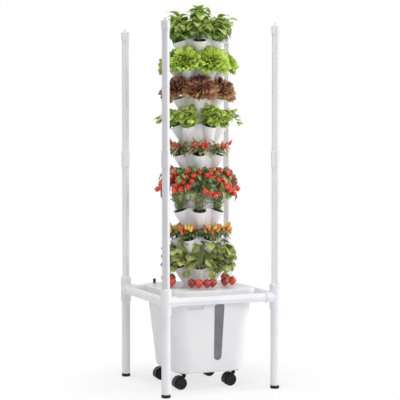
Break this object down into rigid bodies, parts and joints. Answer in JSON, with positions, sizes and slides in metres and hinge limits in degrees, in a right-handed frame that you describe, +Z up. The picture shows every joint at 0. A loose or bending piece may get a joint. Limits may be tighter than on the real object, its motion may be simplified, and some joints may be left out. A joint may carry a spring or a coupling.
{
  "type": "hydroponic tower",
  "caption": "Indoor hydroponic tower: stacked white planting tiers of herbs, lettuce and fruit on a wheeled water tank, inside a pipe frame with upright lamp poles.",
  "frame": {"origin": "on the floor under the middle of the pipe frame", "axes": "+Z up, the front with the water-level window faces -Y, +X to the right seen from the front"},
  "size_m": [0.589, 0.589, 1.7639],
  "materials": {
    "pipe_white": "smooth white pipe plastic",
    "foot_black": "black rubber",
    "lamp_housing": "satin grey-lilac plastic",
    "lamp_diffuser": "milky white plastic",
    "lamp_board": "white-coated board",
    "lamp_fitting": "smooth white plastic",
    "tank_white": "satin white plastic",
    "window_grey": "smoky grey translucent plastic",
    "knob_black": "black plastic",
    "caster_black": "black plastic",
    "wheel_grey": "dark grey plastic",
    "pump_black": "black plastic",
    "riser_white": "white pipe",
    "tier_white": "glossy white moulding",
    "cup_black": "black plastic",
    "plant_basil": "basil leaves",
    "plant_lettuce": "light green lettuce leaves",
    "plant_red_lettuce": "red-brown lettuce leaves",
    "plant_mint": "small green herb leaves",
    "plant_chilli": "dark leaves with red fruit",
    "plant_tomato": "tomato leaves with red fruit",
    "plant_rosemary": "grey-green needles",
    "plant_orange_chilli": "leaves with orange fruit",
    "plant_strawberry": "strawberry leaves with red fruit"
  },
  "bodies": {
    "frame": {"leg_front_left": "pipe_white", "leg_front_right": "pipe_white", "leg_back_right": "pipe_white", "leg_back_left": "pipe_white", "leg_feet": "foot_black", "corner_fittings": "pipe_white", "rails": "pipe_white", "lamp_housings": "lamp_housing", "lamp_diffusers": "lamp_diffuser", "led_boards": "lamp_board", "lamp_couplers": "lamp_fitting", "lamp_end_collars": "lamp_fitting", "lamp_base_plugs": "lamp_fitting"},
    "trolley": {"tank": "tank_white", "level_window": "window_grey", "caster_plates": "caster_black", "pump_body": "pump_black", "pump_strainer": "pump_black", "riser_pipe": "riser_white"},
    "lid": {"lid": "tank_white"},
    "filler_plug": {"filler_plug": "knob_black"},
    "impeller": {"pump_impeller": "pump_black"},
    "top_cap": {"top_cap": "tier_white"},
    "tier_1": {"tier_1": "tier_white", "net_cups_1": "cup_black", "plants_1": "plant_basil"},
    "tier_2": {"tier_2": "tier_white", "net_cups_2": "cup_black", "plants_2": "plant_lettuce"},
    "tier_3": {"tier_3": "tier_white", "net_cups_3": "cup_black", "plants_3": "plant_red_lettuce"},
    "tier_4": {"tier_4": "tier_white", "net_cups_4": "cup_black", "plants_4": "plant_mint"},
    "tier_5": {"tier_5": "tier_white", "net_cups_5": "cup_black", "plants_5": "plant_chilli"},
    "tier_6": {"tier_6": "tier_white", "net_cups_6": "cup_black", "plants_6": "plant_tomato"},
    "tier_7": {"tier_7": "tier_white", "net_cups_7": "cup_black", "plants_7": "plant_rosemary"},
    "tier_8": {"tier_8": "tier_white", "net_cups_8": "cup_black", "plants_8": "plant_orange_chilli"},
    "tier_9": {"tier_9": "tier_white", "net_cups_9": "cup_black", "plants_9": "plant_strawberry"},
    "caster_front_left": {"caster_hood_front_left": "caster_black"},
    "wheels_front_left": {"caster_wheels_front_left": "wheel_grey"},
    "caster_front_right": {"caster_hood_front_right": "caster_black"},
    "wheels_front_right": {"caster_wheels_front_right": "wheel_grey"},
    "caster_back_right": {"caster_hood_back_right": "caster_black"},
    "wheels_back_right": {"caster_wheels_back_right": "wheel_grey"},
    "caster_back_left": {"caster_hood_back_left": "caster_black"},
    "wheels_back_left": {"caster_wheels_back_left": "wheel_grey"}
  },
  "joints": [
    {"name": "trolley_roll", "type": "slide", "parent": "frame", "child": "trolley", "axis": [1, 0, 0], "range_m": [-0.03, 0.03]},
    {"name": "lid_lift", "type": "slide", "parent": "trolley", "child": "lid", "axis": [0, 0, 1], "range_m": [0, 0.15]},
    {"name": "filler_pull", "type": "slide", "parent": "lid", "child": "filler_plug", "axis": [0, 0, 1], "range_m": [0, 0.04]},
    {"name": "impeller_spin", "type": "hinge", "parent": "trolley", "child": "impeller", "pos_m": [0.02, 0, 0.104], "axis": [1, 0, 0], "continuous": true},
    {"name": "tier_9_lift", "type": "slide", "parent": "lid", "child": "tier_9", "axis": [0, 0, 1], "range_m": [0, 0.06]},
    {"name": "tier_8_lift", "type": "slide", "parent": "tier_9", "child": "tier_8", "axis": [0, 0, 1], "range_m": [0, 0.06]},
    {"name": "tier_7_lift", "type": "slide", "parent": "tier_8", "child": "tier_7", "axis": [0, 0, 1], "range_m": [0, 0.06]},
    {"name": "tier_6_lift", "type": "slide", "parent": "tier_7", "child": "tier_6", "axis": [0, 0, 1], "range_m": [0, 0.06]},
    {"name": "tier_5_lift", "type": "slide", "parent": "tier_6", "child": "tier_5", "axis": [0, 0, 1], "range_m": [0, 0.06]},
    {"name": "tier_4_lift", "type": "slide", "parent": "tier_5", "child": "tier_4", "axis": [0, 0, 1], "range_m": [0, 0.06]},
    {"name": "tier_3_lift", "type": "slide", "parent": "tier_4", "child": "tier_3", "axis": [0, 0, 1], "range_m": [0, 0.06]},
    {"name": "tier_2_lift", "type": "slide", "parent": "tier_3", "child": "tier_2", "axis": [0, 0, 1], "range_m": [0, 0.06]},
    {"name": "tier_1_lift", "type": "slide", "parent": "tier_2", "child": "tier_1", "axis": [0, 0, 1], "range_m": [0, 0.06]},
    {"name": "top_cap_lift", "type": "slide", "parent": "tier_1", "child": "top_cap", "axis": [0, 0, 1], "range_m": [0, 0.06]},
    {"name": "caster_front_left_swivel", "type": "hinge", "parent": "trolley", "child": "caster_front_left", "pos_m": [-0.125, -0.125, 0.06], "axis": [0, 0, 1], "continuous": true},
    {"name": "wheels_front_left_spin", "type": "hinge", "parent": "caster_front_left", "child": "wheels_front_left", "pos_m": [-0.145, -0.125, 0.029], "axis": [0, 1, 0], "continuous": true},
    {"name": "caster_front_right_swivel", "type": "hinge", "parent": "trolley", "child": "caster_front_right", "pos_m": [0.125, -0.125, 0.06], "axis": [0, 0, 1], "continuous": true},
    {"name": "wheels_front_right_spin", "type": "hinge", "parent": "caster_front_right", "child": "wheels_front_right", "pos_m": [0.105, -0.125, 0.029], "axis": [0, 1, 0], "continuous": true},
    {"name": "caster_back_right_swivel", "type": "hinge", "parent": "trolley", "child": "caster_back_right", "pos_m": [0.125, 0.125, 0.06], "axis": [0, 0, 1], "continuous": true},
    {"name": "wheels_back_right_spin", "type": "hinge", "parent": "caster_back_right", "child": "wheels_back_right", "pos_m": [0.105, 0.125, 0.029], "axis": [0, 1, 0], "continuous": true},
    {"name": "caster_back_left_swivel", "type": "hinge", "parent": "trolley", "child": "caster_back_left", "pos_m": [-0.125, 0.125, 0.06], "axis": [0, 0, 1], "continuous": true},
    {"name": "wheels_back_left_spin", "type": "hinge", "parent": "caster_back_left", "child": "wheels_back_left", "pos_m": [-0.145, 0.125, 0.029], "axis": [0, 1, 0], "continuous": true}
  ]
}
